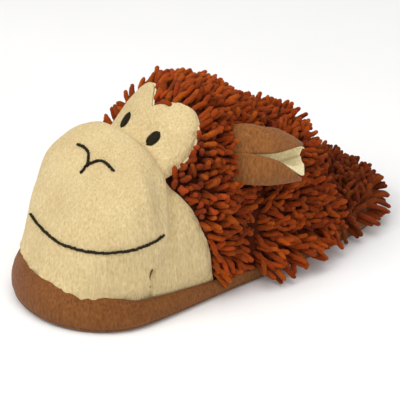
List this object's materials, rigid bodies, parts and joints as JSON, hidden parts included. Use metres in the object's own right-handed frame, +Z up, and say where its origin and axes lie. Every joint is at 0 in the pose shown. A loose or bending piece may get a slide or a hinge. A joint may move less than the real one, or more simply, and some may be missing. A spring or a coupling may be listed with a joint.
{
  "type": "animal slipper",
  "caption": "Backless plush slipper with a stuffed animal head over the toes, a padded footbed and a shaggy yarn upper.",
  "frame": {"origin": "middle of the sole's length and width, on the flat underside of the forefoot, at floor level", "axes": "X across the foot, towards the wearer's left; the toe points along -Y; +Z up"},
  "size_m": [0.1308, 0.269, 0.1272],
  "materials": {
    "sole_plush": "short brown plush over foam",
    "yarn": "shaggy red-brown yarn",
    "face_plush": "short beige plush",
    "ear_plush": "short brown plush",
    "ear_lining": "pale flat cloth"
  },
  "bodies": {
    "root": {"outsole": "sole_plush", "footbed": "yarn", "upper": "yarn", "head": "yarn", "muzzle": "face_plush", "eye_mask": "face_plush", "side_panel_left": "face_plush", "side_panel_right": "face_plush", "ear_left": "ear_plush", "ear_right": "ear_plush", "ear_lining_left": "ear_lining", "ear_lining_right": "ear_lining"}
  },
  "joints": []
}
